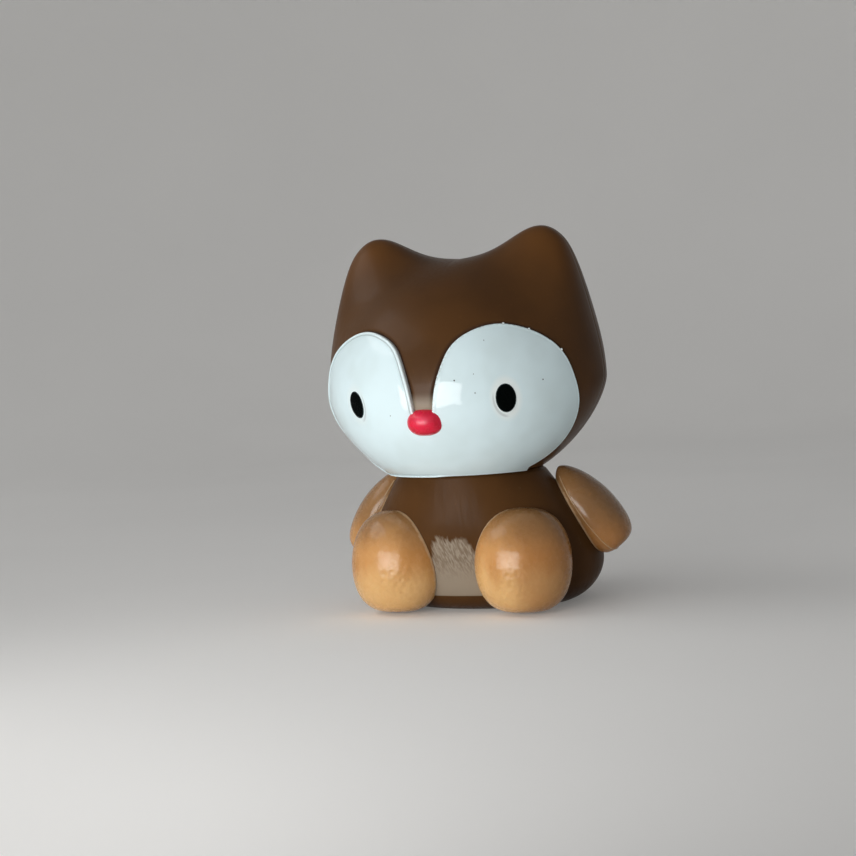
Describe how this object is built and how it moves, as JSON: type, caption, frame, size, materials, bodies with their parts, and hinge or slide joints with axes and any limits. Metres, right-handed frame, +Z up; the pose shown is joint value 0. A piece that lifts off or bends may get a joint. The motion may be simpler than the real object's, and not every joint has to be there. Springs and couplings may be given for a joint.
{
  "type": "fox figurine",
  "caption": "Small seated fox figurine with a big eared head that turns on a plug in its bell-shaped body, a white face plate and rounded feet and arms.",
  "frame": {"origin": "middle of the flat base that the figurine sits on, below the middle of the body", "axes": "+Z up, -Y the way the fox looks, +X the fox's own left side"},
  "size_m": [0.041, 0.0368, 0.0507],
  "materials": {
    "head_paint": "glossy chestnut brown paint under a clear coat",
    "body_paint": "glossy chestnut brown paint under a clear coat, brushed",
    "mask_paint": "glossy cool white paint",
    "eye_paint": "glossy black",
    "nose_paint": "glossy pink red",
    "limb_paint": "glossy caramel paint",
    "tail_paint": "glossy chestnut brown paint",
    "plug_plastic": "bare pale plastic",
    "base_plastic": "matt dark brown plastic"
  },
  "bodies": {
    "torso": {"neck_plug": "plug_plastic", "body_shell": "body_paint", "base_plate": "base_plastic", "left_foot": "limb_paint", "right_foot": "limb_paint", "left_arm": "limb_paint", "right_arm": "limb_paint", "tail": "tail_paint"},
    "head": {"head_front_shell": "head_paint", "head_back_shell": "head_paint", "face_mask": "mask_paint", "nose": "nose_paint", "left_eye": "eye_paint", "right_eye": "eye_paint"}
  },
  "joints": [
    {"name": "head_turn", "type": "hinge", "parent": "torso", "child": "head", "pos_m": [0, -0.0036, 0.0186], "axis": [0, 0, 1], "continuous": true}
  ]
}
